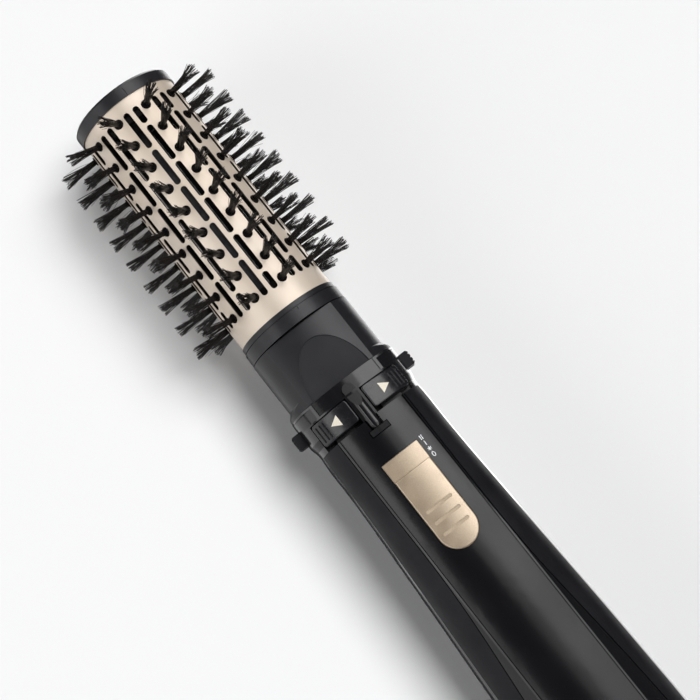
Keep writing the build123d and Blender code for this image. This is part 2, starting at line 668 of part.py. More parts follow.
def grip_region(gap):
    """The sides' area seen from above: beside the top panel, then swinging away from it."""
    edge = PANEL_HALF_WIDTH + PANEL_GAP + EDGE_STRIP + GRIP_GAP - gap
    with BuildSketch(plan(GRIP_BOTTOM_H - gap)) as area:
        with BuildLine():
            Line((RING_REAR + gap, edge), (-20.0, edge))
            Spline(
                (-20.0, edge),
                (-50.0, edge + 1.1),
                (-80.0, edge + 3.7),
                (-113.0, edge + 6.0),
                (-162.0 - gap, edge + 8.2),
                tangents=[(-1, 0), (-1, 0.02)],
            )
            Polyline(
                (-162.0 - gap, edge + 8.2),
                (-162.0 - gap, 40),
                (RING_REAR + gap, 40),
                (RING_REAR + gap, edge),
            )
        make_face()
        mirror(about=Plane.XZ)
    return area.sketch


with BuildPart() as grips:
    extrude(grip_region(0.0), amount=60)
    slab(-200, RING_REAR - 0.2, -40, 40, -60, 60, mode=Mode.INTERSECT)
    add(OUTER_FORM, mode=Mode.INTERSECT)
    add(PANEL_FORM, mode=Mode.SUBTRACT)

for name, side in (("left", 1), ("right", -1)):
    with BuildPart() as side_grip:
        add(grips.part)
        ys = sorted((0.0, side * 40))
        slab(-200, 60, *ys, -60, 60, mode=Mode.INTERSECT)
    side_grip.part.label = f"side_grip_{name}"
    export_step(side_grip.part, f"parts/side_grip_{name}.step")

LEDGE_Y = 12.2
with BuildPart() as rebates:
    extrude(grip_region(GRIP_GAP), amount=60)
    edge = PANEL_HALF_WIDTH + PANEL_GAP
    slab(PANEL_REAR - 0.3, RING_REAR, -edge, edge, 5, 40)
    add(PANEL_FORM, mode=Mode.SUBTRACT)

with BuildPart() as lower_shell:
    add(OUTER_FORM)
    slab(CAP_FRONT + 0.2, RING_REAR - 0.1, -40, 40, -60, 60, mode=Mode.INTERSECT)
    add(INNER_FORM, mode=Mode.SUBTRACT)
    add(rebates.part, mode=Mode.SUBTRACT)
    slab(PANEL_REAR + 4, RING_REAR, -LEDGE_Y, LEDGE_Y, 5, 40, mode=Mode.SUBTRACT)
    slab(-200, 100, -40, 40, -60, -AXIS_Z, mode=Mode.SUBTRACT)
lower_shell.part.label = "lower_shell"
export_step(lower_shell.part, "parts/lower_shell.step")


# ---------------------------------------------------------------- heat switch
STEM_X = -8.0
STEM_HALF = 1.5
STEM_SLOT_HALF = 1.9
STEM_BOTTOM_H = 17.3
PLATE_BOTTOM_H = 18.9
PLATE_TOP_H = 21.35
PLATE_CROWN_R = 44.0
SLIDER_CROWN_R = 40.0
SLIDER_GROOVES = (-7.6, -12.6, -17.6)
stem_slot = (STEM_X - STEM_SLOT_HALF, STEM_X + STEM_SLOT_HALF + SWITCH_TRAVEL)

with BuildPart() as switch_plate:
    extrude(
        switch_outline(SLIDER_REAR - 0.1, PLATE_FRONT, PLATE_HALF_WIDTH, PLATE_BOTTOM_H),
        amount=6,
    )
    crowned(-40, 40, PLATE_TOP_H, PLATE_CROWN_R, mode=Mode.INTERSECT)
    slab(*stem_slot, -STEM_SLOT_HALF, STEM_SLOT_HALF, 18, 24, mode=Mode.SUBTRACT)
switch_plate.part.label = "switch_plate"
export_step(switch_plate.part, "parts/switch_plate.step")

with BuildPart() as heat_slider:
    extrude(
        switch_outline(SLIDER_REAR, SLIDER_FRONT, SWITCH_HALF_WIDTH, SLIDER_BOTTOM_H),
        amount=4,
    )
    crowned(-40, 40, SLIDER_TOP_H, SLIDER_CROWN_R, mode=Mode.INTERSECT)
    crown_face = heat_slider.faces().filter_by(GeomType.CYLINDER).sort_by(Axis.Z)[-1]
    fillet(crown_face.edges(), radius=0.5)
    for groove_x in SLIDER_GROOVES:
        with BuildSketch(plan(SLIDER_TOP_H - 0.75)) as groove:
            with Locations((groove_x, 0)):
                SlotOverall(11.6, 1.4, rotation=90)
        extrude(groove.sketch, amount=2, mode=Mode.SUBTRACT)
    stem = (STEM_X - STEM_HALF, STEM_X + STEM_HALF, -STEM_HALF, STEM_HALF)
    slab(*stem, STEM_BOTTOM_H, SLIDER_BOTTOM_H + 0.2)
heat_slider.part.label = "heat_slider"
export_step(heat_slider.part, "parts/heat_slider.step")

BOARD_REAR = -76.0
BOARD_FRONT = 12.0
BOARD_HALF_WIDTH = 10.5
BOARD_BOTTOM_H = 15.6
BOARD_TOP_H = 16.6
SWITCH_BODY = (-20.0, 8.0, -5.5, 5.5)
CAPACITOR_R = 3.2
CAPACITOR_BOTTOM_H = 12.0
CHIP_BOTTOM_H = 13.0

with BuildPart() as slide_switch:
    slab(*SWITCH_BODY, BOARD_TOP_H + 0.1, BOARD_TOP_H + 2.1)
    slab(*stem_slot, -STEM_SLOT_HALF, STEM_SLOT_HALF, BOARD_TOP_H + 0.4, 20, mode=Mode.SUBTRACT)
slide_switch.part.label = "slide_switch"
export_step(slide_switch.part, "parts/slide_switch.step")

with BuildPart() as circuit_board:
    slab(BOARD_REAR, BOARD_FRONT, -BOARD_HALF_WIDTH, BOARD_HALF_WIDTH, BOARD_BOTTOM_H, BOARD_TOP_H)
    for part_x, part_y in ((-34.0, 4.0), (-44.0, -4.0), (-58.0, 3.0)):
        with BuildSketch(plan(CAPACITOR_BOTTOM_H)) as capacitor:
            with Locations((part_x, part_y)):
                Circle(CAPACITOR_R)
        extrude(capacitor.sketch, amount=BOARD_BOTTOM_H + 0.1 - CAPACITOR_BOTTOM_H)
    for chip_x in (-52.0, -66.0):
        slab(chip_x - 3, chip_x + 3, -8.0, -2.0, CHIP_BOTTOM_H, BOARD_BOTTOM_H + 0.1)
circuit_board.part.label = "circuit_board"
export_step(circuit_board.part, "parts/circuit_board.step")


# ---------------------------------------------------------------- heater
HEATER_FRONT = 27.0
HEATER_REAR = -13.0
SHIELD_R = 15.2
SHIELD_WALL = 0.5
HEATER_TUBE_R = 5.2
COIL_R = 13.6
COIL_PITCH = 4.8
WIRE_R = 0.4

with BuildPart() as heat_shield:
    tube(HEATER_REAR - 5.0, HEATER_FRONT + 4.0, SHIELD_R, SHIELD_R - SHIELD_WALL)
heat_shield.part.label = "heat_shield"
export_step(heat_shield.part, "parts/heat_shield.step")

with BuildPart() as heater_board:
    tube(HEATER_REAR, HEATER_FRONT, HEATER_TUBE_R, HEATER_TUBE_R - 0.8)
    with BuildSketch(section(HEATER_REAR)) as fins:
        with PolarLocations(8.8, 6, start_angle=30):
            Rectangle(7.8, 0.8)
    extrude(fins.sketch, amount=HEATER_FRONT - HEATER_REAR)
heater_board.part.label = "heater_board"
export_step(heater_board.part, "parts/heater_board.step")

with BuildPart() as heater_coil:
    start = Vector(HEATER_REAR + 3, 0, AXIS_Z)
    coil(start, (1, 0, 0), radius=COIL_R, pitch=COIL_PITCH, length=7 * COIL_PITCH, wire=WIRE_R)
heater_coil.part.label = "heater_coil"
export_step(heater_coil.part, "parts/heater_coil.step")

with BuildPart() as thermal_cutout:
    slab(HEATER_REAR - 4.6, HEATER_REAR - 0.1, 6.0, 12.0, -3.0, 3.0)
thermal_cutout.part.label = "thermal_cutout"
export_step(thermal_cutout.part, "parts/thermal_cutout.step")


# ---------------------------------------------------------------- rotation drive
def gear(teeth, x_rear, x_front, height, turn):
    """A spur gear along X with straight-flanked teeth, a little thin for backlash."""
    pitch_r = GEAR_MODULE * teeth / 2
    root_r = pitch_r - 1.3 * GEAR_MODULE
    tip_r = pitch_r + 0.9 * GEAR_MODULE
    root_half = 0.95 * GEAR_MODULE
    tip_half = 0.36 * GEAR_MODULE
    with BuildSketch(section(x_rear, height)) as blank:
        Circle(root_r)
        with PolarLocations(0, teeth, start_angle=turn):
            Polygon(
                (root_r - 0.3, -root_half),
                (tip_r, -tip_half),
                (tip_r, tip_half),
                (root_r - 0.3, root_half),
                align=None,
            )
    extrude(blank.sketch, amount=x_front - x_rear)


HEX_REAR = 46.0
PINION_SHAFT_R = 0.9
BUSH_OUTER_R = 4.28

with BuildPart() as drive_shaft:
    with BuildSketch(section(HEX_REAR)) as hexagon:
        RegularPolygon(HEX_ACROSS / 2, 6, major_radius=False)
    extrude(hexagon.sketch, amount=SHAFT_FRONT - HEX_REAR)
    tube(GEAR_REAR - 2.0, HEX_REAR, SHAFT_R)
drive_shaft.part.label = "drive_shaft"
export_step(drive_shaft.part, "parts/drive_shaft.step")

with BuildPart() as output_gear:
    gear(GEAR_TEETH, GEAR_REAR, GEAR_FRONT, 0.0, -90)
    tube(GEAR_REAR, GEAR_FRONT, SHAFT_R, mode=Mode.SUBTRACT)
output_gear.part.label = "output_gear"
export_step(output_gear.part, "parts/output_gear.step")

MOTOR_FRONT = -38.0
MOTOR_REAR = -62.0
MOTOR_R = 7.6
MOTOR_HALF_WIDTH = 6.0

with BuildPart() as motor_pinion:
    gear(PINION_TEETH, GEAR_REAR, GEAR_FRONT, -GEAR_CENTRES, 90 + 180 / PINION_TEETH)
    tube(MOTOR_FRONT - 5.0, GEAR_FRONT + 1.0, PINION_SHAFT_R, height=-GEAR_CENTRES)
motor_pinion.part.label = "motor_pinion"
export_step(motor_pinion.part, "parts/motor_pinion.step")

with BuildPart() as shaft_bush:
    tube(BAR_X - 0.1, BAR_X + 3.1, BUSH_OUTER_R, SHAFT_R + 0.05)
shaft_bush.part.label = "shaft_bush"
export_step(shaft_bush.part, "parts/shaft_bush.step")

CASE_REAR = MOTOR_FRONT + 0.1
CASE_FRONT = -22.0
CASE_WALL = 2.0
CASE_R = 10.6
CASE_ARM_Y = (10.0, 21.0)
inside = (CASE_REAR + CASE_WALL, CASE_FRONT - CASE_WALL)

with BuildPart() as gear_case:
    tube(CASE_REAR, CASE_FRONT, CASE_R)
    tube(CASE_REAR, CASE_FRONT, 8.2, height=-GEAR_CENTRES)
    tube(*inside, 9.2, mode=Mode.SUBTRACT)
    tube(*inside, 3.4, height=-GEAR_CENTRES, mode=Mode.SUBTRACT)
    tube(CASE_REAR - 1, CASE_FRONT + 1, SHAFT_R + 0.05, mode=Mode.SUBTRACT)
    tube(CASE_REAR - 1, inside[1], 1.3, height=-GEAR_CENTRES, mode=Mode.SUBTRACT)
    slab(*inside, -CASE_ARM_Y[1], -CASE_ARM_Y[0], -1.5, 1.5)
    slab(*inside, *CASE_ARM_Y, -1.5, 1.5)
gear_case.part.label = "gear_case"
export_step(gear_case.part, "parts/gear_case.step")

with BuildPart() as rotation_motor:
    tube(MOTOR_REAR, MOTOR_FRONT, MOTOR_R, height=-GEAR_CENTRES)
    slab(-70, 0, -MOTOR_HALF_WIDTH, MOTOR_HALF_WIDTH, -30, 30, mode=Mode.INTERSECT)
    tube(MOTOR_REAR - 2.0, MOTOR_REAR, 2.5, height=-GEAR_CENTRES)
    bore_r = PINION_SHAFT_R + 0.05
    tube(MOTOR_FRONT - 6.0, MOTOR_FRONT, bore_r, height=-GEAR_CENTRES, mode=Mode.SUBTRACT)
rotation_motor.part.label = "rotation_motor"
export_step(rotation_motor.part, "parts/rotation_motor.step")


# ---------------------------------------------------------------- fan
FAN_REAR = -142.0
FAN_FRONT = -131.0
FAN_R = 18.8
HUB_R = 8.0
DUCT_FRONT = -96.0
FAN_MOTOR_REAR = -126.0
FAN_MOTOR_FRONT = -98.0
FAN_MOTOR_R = 14.1
FAN_SHAFT_R = 1.55
VANE_REAR = -120.0
VANE_FRONT = -112.0

with BuildPart() as fan_duct:
    tube(FAN_REAR - 3.0, DUCT_FRONT, DUCT_R, DUCT_R - 1.2, height=FAN_AXIS_H)
    tube(VANE_REAR, VANE_FRONT, 15.4, FAN_MOTOR_R + 0.1, height=FAN_AXIS_H)
    with BuildSketch(section(VANE_REAR, FAN_AXIS_H)) as vanes:
        with PolarLocations(17.5, 6):
            Rectangle(4.8, 1.0)
    extrude(vanes.sketch, amount=VANE_FRONT - VANE_REAR)
fan_duct.part.label = "fan_duct"
export_step(fan_duct.part, "parts/fan_duct.step")

with BuildPart() as fan_motor:
    tube(FAN_MOTOR_REAR, FAN_MOTOR_FRONT, FAN_MOTOR_R, height=FAN_AXIS_H)
    tube(FAN_MOTOR_FRONT, FAN_MOTOR_FRONT + 3.0, 4.0, height=FAN_AXIS_H)
    tube(FAN_MOTOR_REAR - 2.0, FAN_MOTOR_REAR, 4.0, height=FAN_AXIS_H)
    tube(FAN_MOTOR_REAR - 3.0, -110.0, FAN_SHAFT_R + 0.05, height=FAN_AXIS_H, mode=Mode.SUBTRACT)
fan_motor.part.label = "fan_motor"
export_step(fan_motor.part, "parts/fan_motor.step")

with BuildPart() as fan_impeller:
    tube(FAN_REAR, FAN_FRONT, HUB_R, height=FAN_AXIS_H)
    with Locations(section((FAN_REAR + FAN_FRONT) / 2, FAN_AXIS_H)):
        with PolarLocations(13.0, 9):
            Box(11.5, 0.9, 12.0, rotation=(38, 0, 0))
    tube(FAN_REAR, FAN_FRONT, FAN_R, height=FAN_AXIS_H, mode=Mode.INTERSECT)
    tube(FAN_FRONT, -112.0, FAN_SHAFT_R, height=FAN_AXIS_H)
fan_impeller.part.label = "fan_impeller"
export_step(fan_impeller.part, "parts/fan_impeller.step")


# ---------------------------------------------------------------- rear end
GLAND_BORE_R = 3.3
GLAND_FLANGE_R = 8.4
GLAND_NECK_R = 5.94
GLAND_INNER_X = -182.3
NECK_X = (-187.3, -184.1)
with BuildPart() as rear_cap:
    add(OUTER_FORM)
    add(INNER_FORM, mode=Mode.SUBTRACT)
    slab(END_X - 5, CAP_FRONT - 0.2, -40, 40, -60, 60, mode=Mode.INTERSECT)
    with BuildSketch(section(-184.0, FAN_AXIS_H)) as side_slots:
        with PolarLocations(30, 28, start_angle=180 / 28):
            Rectangle(30, 1.9)
    extrude(side_slots.sketch, amount=14.0, mode=Mode.SUBTRACT)
    tube(END_X - 1, -180.0, 13.0, height=FAN_AXIS_H, mode=Mode.SUBTRACT)
    tube(END_X, -184.4, 13.2, 6.0, height=FAN_AXIS_H)
rear_cap.part.label = "rear_cap"
export_step(rear_cap.part, "parts/rear_cap.step")

with BuildPart() as filter_screen:
    add(INNER_FORM)
    slab(-167.4, -166.4, -40, 40, -60, 60, mode=Mode.INTERSECT)
    with BuildSketch(section(-168.0, FAN_AXIS_H)) as meshes:
        with GridLocations(3.2, 3.2, 12, 12):
            Rectangle(2.2, 2.2)
        Circle(19.0, mode=Mode.INTERSECT)
    extrude(meshes.sketch, amount=2.0, mode=Mode.SUBTRACT)
filter_screen.part.label = "filter_screen"
export_step(filter_screen.part, "parts/filter_screen.step")

with BuildPart() as cord_gland:
    tube(NECK_X[1], GLAND_INNER_X, GLAND_FLANGE_R, height=FAN_AXIS_H)
    tube(*NECK_X, GLAND_NECK_R, height=FAN_AXIS_H)
    tube(REAR_X, NECK_X[0], GLAND_FLANGE_R, height=FAN_AXIS_H)
    fillet(cord_gland.faces().sort_by(Axis.X)[0].edges(), radius=1.2)
    tube(REAR_X, GLAND_INNER_X, GLAND_BORE_R, height=FAN_AXIS_H, mode=Mode.SUBTRACT)
cord_gland.part.label = "cord_gland"
export_step(cord_gland.part, "parts/cord_gland.step")
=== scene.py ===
import math
import random

import bmesh
import bpy
from mathutils import Matrix, Vector


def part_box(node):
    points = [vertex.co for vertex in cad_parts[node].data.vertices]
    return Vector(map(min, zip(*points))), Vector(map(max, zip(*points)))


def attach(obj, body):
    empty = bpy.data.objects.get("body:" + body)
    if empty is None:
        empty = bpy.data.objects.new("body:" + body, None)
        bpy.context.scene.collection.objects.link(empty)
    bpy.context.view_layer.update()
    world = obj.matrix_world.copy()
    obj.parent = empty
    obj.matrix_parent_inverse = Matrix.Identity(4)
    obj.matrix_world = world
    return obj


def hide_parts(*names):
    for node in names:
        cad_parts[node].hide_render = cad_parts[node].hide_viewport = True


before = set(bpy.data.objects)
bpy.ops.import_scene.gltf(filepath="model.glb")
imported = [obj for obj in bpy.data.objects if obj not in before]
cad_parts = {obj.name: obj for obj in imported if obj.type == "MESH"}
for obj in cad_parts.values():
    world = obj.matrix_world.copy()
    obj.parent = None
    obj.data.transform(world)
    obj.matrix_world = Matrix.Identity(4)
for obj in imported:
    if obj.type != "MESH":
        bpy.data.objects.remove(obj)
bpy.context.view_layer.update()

MM = 0.001

# ---------------------------------------------------------------- places read from model.glb, and the bristle counts
BARREL_LOW, BARREL_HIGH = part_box("barrel")
AXIS_Z = (BARREL_LOW.z + BARREL_HIGH.z) / 2
BARREL_R = (BARREL_HIGH.z - BARREL_LOW.z) / 2
ROWS = 10
TUFTS_PER_ROW = 9


# ---------------------------------------------------------------- camera
CAMERA_PLACE = Vector((-30.6, 43.0, 708.2)) * MM
CAMERA_TARGET = Vector((59.5, -11.0, 35.0)) * MM
CAMERA_UP_ANGLE = math.radians(-37.9)
CAMERA_LENS = 92.57
CAMERA_SENSOR = 36.0
CAMERA_CLIP = 10 * MM


def add_camera():
    """Looks down on the brush, with the tip towards the upper left of the picture."""
    back = (CAMERA_PLACE - CAMERA_TARGET).normalized()
    hint = Vector((math.cos(CAMERA_UP_ANGLE), math.sin(CAMERA_UP_ANGLE), 0))
    right = hint.cross(back).normalized()
    up = back.cross(right)
    turn = Matrix((right, up, back)).transposed().to_4x4()
    data = bpy.data.cameras.new("camera")
    data.lens = CAMERA_LENS
    data.sensor_width = CAMERA_SENSOR
    data.clip_start = CAMERA_CLIP
    camera = bpy.data.objects.new("camera", data)
    camera.matrix_world = Matrix.Translation(CAMERA_PLACE) @ turn
    bpy.context.scene.collection.objects.link(camera)
    bpy.context.scene.camera = camera


# ---------------------------------------------------------------- light
LIGHT_DISTANCE = 1.25
LIGHT_REACH = 2.3
LIGHT_SPLIT = 0.0  # where a strip's bright front half ends and its dimmer rear half starts
REAR_DIMMING = 0.5
WORLD_COLOR = (0.95, 0.97, 1.0)
WORLD_STRENGTH = 0.06


def add_strip_light(name, near_angle, far_angle, radiance, rear, front):
    """A soft box along the brush, for its reflections.

    Angles are from straight up, in degrees, positive to the right. It runs from rear to front in X.
    """
    middle = math.radians((near_angle + far_angle) / 2)
    half = math.radians(abs(far_angle - near_angle) / 2)
    width = 2 * LIGHT_DISTANCE * math.tan(half)
    data = bpy.data.lights.new(name, "AREA")
    data.shape = "RECTANGLE"
    data.size = front - rear
    data.size_y = width
    data.energy = radiance * math.pi * (front - rear) * width
    light = bpy.data.objects.new(name, data)
    aim = Vector((0, -math.sin(middle), math.cos(middle)))
    light.location = Vector(((front + rear) / 2, 0, AXIS_Z)) + aim * LIGHT_DISTANCE
    along = Vector((1, 0, 0))
    light.rotation_euler = Matrix((along, aim.cross(along), aim)).transposed().to_euler()
    light.visible_diffuse = False
    light.visible_camera = False
    bpy.context.scene.collection.objects.link(light)


def add_soft_sun(name, angle, spread, strength):
    """A wide, even light for the floor and the shadow beside the brush."""
    data = bpy.data.lights.new(name, "SUN")
    data.angle = math.radians(spread)
    data.energy = strength
    light = bpy.data.objects.new(name, data)
    light.rotation_euler = (math.radians(angle), 0, 0)
    light.visible_glossy = False
    bpy.context.scene.collection.objects.link(light)


def add_lights():
    # each strip's name, near and far angle, and radiance
    strips = (
        ("key_right", 18, 54, 3.2),
        ("key_edge", 5, 18, 1.2),
        ("fill_left", -37, -54, 2.4),
        ("low_left", -62, -88, 1.25),
        ("under_left", -92, -150, 0.9),
        ("under_right", 138, 174, 3.0),
    )
    for name, near_angle, far_angle, radiance in strips:
        add_strip_light(name, near_angle, far_angle, radiance, LIGHT_SPLIT, LIGHT_REACH)
        dimmed = radiance * REAR_DIMMING
        add_strip_light(f"{name}_rear", near_angle, far_angle, dimmed, -LIGHT_REACH, LIGHT_SPLIT)
    add_soft_sun("sun_right", 23, 30, 2.9)
    add_soft_sun("sun_left", -66, 50, 1.15)
    world = bpy.data.worlds.new("studio")
    world.use_nodes = True
    background = world.node_tree.nodes["Background"]
    background.inputs["Color"].default_value = (*WORLD_COLOR, 1.0)
    background.inputs["Strength"].default_value = WORLD_STRENGTH
    bpy.context.scene.world = world
    bpy.context.scene.view_settings.view_transform = "Standard"
    bpy.context.scene.view_settings.look = "None"


# ---------------------------------------------------------------- material building blocks
NOISE_LOW, NOISE_HIGH = 0.3, 0.7  # the middle part of what a noise gives
PAINT_EDGE = 0.05 * MM


class Surface:
    """A Principled material with helpers for fine procedural detail in object space."""

    def __init__(
        self, name, color, roughness, metallic=0.0, specular=0.5, coat=0.0, coat_roughness=0.05
    ):
        self.material = bpy.data.materials.new(name)
        self.material.use_nodes = True
        self.tree = self.material.node_tree
        self.shader = self.tree.nodes["Principled BSDF"]
        self.shader.inputs["Base Color"].default_value = (*color, 1.0)
        self.shader.inputs["Roughness"].default_value = roughness
        self.shader.inputs["Metallic"].default_value = metallic
        self.shader.inputs["Specular IOR Level"].default_value = specular
        self.shader.inputs["Coat Weight"].default_value = coat
        self.shader.inputs["Coat Roughness"].default_value = coat_roughness
        self.place = self.tree.nodes.new("ShaderNodeTexCoord")
        self.last_normal = None

    def link(self, output, target):
        self.tree.links.new(output, target)

    def mapped(self, stretch):
        mapping = self.tree.nodes.new("ShaderNodeMapping")
        mapping.inputs["Scale"].default_value = stretch
        self.link(self.place.outputs["Object"], mapping.inputs["Vector"])
        return mapping.outputs["Vector"]

    def noise(self, scale, detail, stretch=(1, 1, 1)):
        node = self.tree.nodes.new("ShaderNodeTexNoise")
        node.inputs["Scale"].default_value = scale
        node.inputs["Detail"].default_value = detail
        self.link(self.mapped(stretch), node.inputs["Vector"])
        return node.outputs["Fac"]

    def cells(self, scale):
        node = self.tree.nodes.new("ShaderNodeTexVoronoi")
        node.inputs["Scale"].default_value = scale
        self.link(self.place.outputs["Object"], node.inputs["Vector"])
        return node.outputs["Distance"]

    def span(self, value, low, high, to_low, to_high):
        node = self.tree.nodes.new("ShaderNodeMapRange")
        node.inputs["From Min"].default_value = low
        node.inputs["From Max"].default_value = high
        node.inputs["To Min"].default_value = to_low
        node.inputs["To Max"].default_value = to_high
        self.link(value, node.inputs["Value"])
        return node.outputs["Result"]

    def vary_color(self, value, dark, light):
        ramp = self.tree.nodes.new("ShaderNodeValToRGB")
        ramp.color_ramp.elements[0].position = NOISE_LOW
        ramp.color_ramp.elements[0].color = (*dark, 1.0)
        ramp.color_ramp.elements[1].position = NOISE_HIGH
        ramp.color_ramp.elements[1].color = (*light, 1.0)
        self.link(value, ramp.inputs["Fac"])
        self.link(ramp.outputs["Color"], self.shader.inputs["Base Color"])
        return self

    def paint_shade_inside(self, centre_height, radius, color):
        """Painted shade: a dark colour on what lies nearer to the long axis than the radius,
        standing in for the shade in bores and on slot edges.
        """
        parts = self.tree.nodes.new("ShaderNodeSeparateXYZ")
        self.link(self.place.outputs["Object"], parts.inputs["Vector"])
        rise = self.math("SUBTRACT", parts.outputs["Z"], centre_height)
        across_squared = self.math("POWER", parts.outputs["Y"], 2)
        rise_squared = self.math("POWER", rise, 2)
        reach = self.math("SQRT", self.math("ADD", across_squared, rise_squared))
        outside = self.span(reach, radius - PAINT_EDGE, radius + PAINT_EDGE, 0, 1)
        mix = self.tree.nodes.new("ShaderNodeMix")
        mix.data_type = "RGBA"
        mix.inputs["A"].default_value = (*color, 1.0)
        self.link(self.shader.inputs["Base Color"].links[0].from_socket, mix.inputs["B"])
        self.link(outside, mix.inputs["Factor"])
        self.link(mix.outputs["Result"], self.shader.inputs["Base Color"])
        return self

    def math(self, operation, value, other=0.0):
        node = self.tree.nodes.new("ShaderNodeMath")
        node.operation = operation
        for socket, source in zip(node.inputs, (value, other)):
            if isinstance(source, (int, float)):
                socket.default_value = source
            else:
                self.link(source, socket)
        return node.outputs["Value"]

    def vary_roughness(self, value, low, high):
        roughness = self.span(value, NOISE_LOW, NOISE_HIGH, low, high)
        self.link(roughness, self.shader.inputs["Roughness"])
        return self

    def bump(self, value, strength, distance):
        node = self.tree.nodes.new("ShaderNodeBump")
        node.inputs["Strength"].default_value = strength
        node.inputs["Distance"].default_value = distance
        self.link(value, node.inputs["Height"])
        if self.last_normal:
            self.link(self.last_normal, node.inputs["Normal"])
        self.last_normal = node.outputs["Normal"]
        self.link(self.last_normal, self.shader.inputs["Normal"])
        return self


# ---------------------------------------------------------------- materials
SHADE_DEPTH = 0.16 * MM  # how far in from the barrel's outer face the painted shade of the bore and slot walls begins


def champagne_metal():
    """Anodised barrel: fine brushed lines round it, a drifting warm tint, faint rubbed streaks."""
    s = Surface("champagne_metal", (0.67, 0.57, 0.47), 0.42, metallic=0.28, specular=0.9)
    s.vary_color(s.noise(38, 2.0), (0.65, 0.545, 0.44), (0.70, 0.605, 0.51))
    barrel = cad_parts["barrel"]
    axis_height = (barrel.matrix_world.inverted() @ Vector((0, 0, AXIS_Z))).z
    # painted shade: near-black on the bore and slot walls, standing in for the shade inside the
    # barrel
    s.paint_shade_inside(axis_height, BARREL_R - SHADE_DEPTH, (0.012, 0.009, 0.007))
    s.vary_roughness(s.noise(160, 3.0, (1, 6, 6)), 0.38, 0.48)
    s.bump(s.noise(2600, 2.0, (3, 1, 1)), 0.10, 0.05 * MM)
    s.bump(s.noise(700, 4.0), 0.06, 0.1 * MM)
    return s.material


def champagne_paint():
    """Metallic lacquer on the thumb switch, with fine flakes under a clear coat."""
    s = Surface(
        "champagne_paint", (0.51, 0.40, 0.28), 0.30, 0.48, 1.0, coat=0.8, coat_roughness=0.3
    )
    s.vary_color(s.noise(4200, 1.0), (0.45, 0.345, 0.235), (0.57, 0.455, 0.33))
    s.vary_roughness(s.noise(220, 3.0), 0.29, 0.40)
    s.bump(s.cells(3600), 0.08, 0.04 * MM)
    return s.material


def grip_black():
    """The soft dark sides: a dry, fine-grained finish that returns little light."""
    s = Surface("grip_black", (0.008, 0.008, 0.010), 0.46, specular=0.2)
    s.vary_color(s.noise(70, 3.0), (0.006, 0.006, 0.008), (0.011, 0.011, 0.013))
    s.vary_roughness(s.noise(110, 4.0, (1, 2, 2)), 0.42, 0.52)
    s.bump(s.noise(3800, 2.0), 0.25, 0.06 * MM)
    return s.material


def satin_black():
    """Spark-textured moulded plastic with soft handling marks."""
    s = Surface("satin_black", (0.012, 0.012, 0.014), 0.36, specular=0.42)
    s.vary_color(s.noise(60, 3.0), (0.009, 0.009, 0.011), (0.015, 0.015, 0.017))
    s.vary_roughness(s.noise(90, 4.0, (1, 2, 2)), 0.33, 0.41)
    s.bump(s.noise(3400, 2.0), 0.22, 0.06 * MM)
    return s.material


def gloss_black():
    """Polished piano-black plastic, with faint swirls and a slight moulding ripple."""
    s = Surface(
        "gloss_black", (0.006, 0.006, 0.007), 0.16, specular=0.5, coat=0.2, coat_roughness=0.08
    )
    s.vary_roughness(s.noise(150, 5.0, (0.4, 2, 2)), 0.12, 0.22)
    s.bump(s.noise(30, 1.0), 0.05, 0.4 * MM)
    s.bump(s.noise(1500, 2.0), 0.02, 0.04 * MM)
    return s.material


def panel_black():
    """The long top panel: semi-gloss, so the lights spread into soft bands along it."""
    s = Surface("panel_black", (0.004, 0.004, 0.005), 0.22, specular=0.45)
    s.vary_roughness(s.noise(120, 5.0, (0.4, 2, 2)), 0.20, 0.25)
    s.bump(s.noise(1500, 2.0), 0.03, 0.04 * MM)
    return s.material


def button_black():
    """Semi-gloss button plastic, a little worn where thumbs rub it."""
    s = Surface(
        "button_black", (0.008, 0.008, 0.010), 0.22, specular=0.5, coat=0.15, coat_roughness=0.1
    )
    s.vary_roughness(s.noise(420, 4.0), 0.17, 0.30)
    s.bump(s.noise(2800, 2.0), 0.06, 0.04 * MM)
    return s.material


def cage_black():
    """Heat-resistant plastic, dull and dark, for what is seen through the slots."""
    s = Surface("cage_black", (0.005, 0.004, 0.004), 0.75, specular=0.12)
    s.vary_roughness(s.noise(200, 3.0), 0.68, 0.85)
    s.bump(s.noise(1800, 3.0), 0.15, 0.06 * MM)
    return s.material


def nylon_filament():
    """Black nylon: nearly black with a slightly brown body, and a narrow sheen along each hair."""
    s = Surface("nylon_filament", (0.006, 0.005, 0.0045), 0.33, specular=0.4)
    s.vary_color(s.noise(900, 2.0), (0.0035, 0.003, 0.003), (0.013, 0.0095, 0.008))
    s.vary_roughness(s.noise(1400, 2.0), 0.28, 0.45)
    s.bump(s.noise(9000, 1.0), 0.08, 0.02 * MM)
    return s.material


def bare_steel():
    """Plain steel, with fine lines from turning and drawing."""
    s = Surface("bare_steel", (0.58, 0.58, 0.60), 0.30, metallic=1.0)
    s.vary_roughness(s.noise(500, 3.0, (1, 6, 6)), 0.22, 0.42)
    s.bump(s.noise(1600, 2.0, (1, 8, 8)), 0.08, 0.04 * MM)
    return s.material


def turned_brass():
    """Brass with the lathe's lines round it."""
    s = Surface("turned_brass", (0.78, 0.58, 0.27), 0.28, metallic=1.0)
    s.vary_roughness(s.noise(700, 3.0, (8, 1, 1)), 0.2, 0.38)
    s.bump(s.noise(2400, 2.0, (8, 1, 1)), 0.06, 0.03 * MM)
    return s.material


def blued_steel():
    """Steel darkened by heat."""
    s = Surface("blued_steel", (0.05, 0.05, 0.055), 0.5, metallic=1.0)
    s.vary_color(s.noise(260, 4.0), (0.035, 0.035, 0.042), (0.07, 0.065, 0.065))
    s.vary_roughness(s.noise(600, 3.0), 0.42, 0.6)
    return s.material


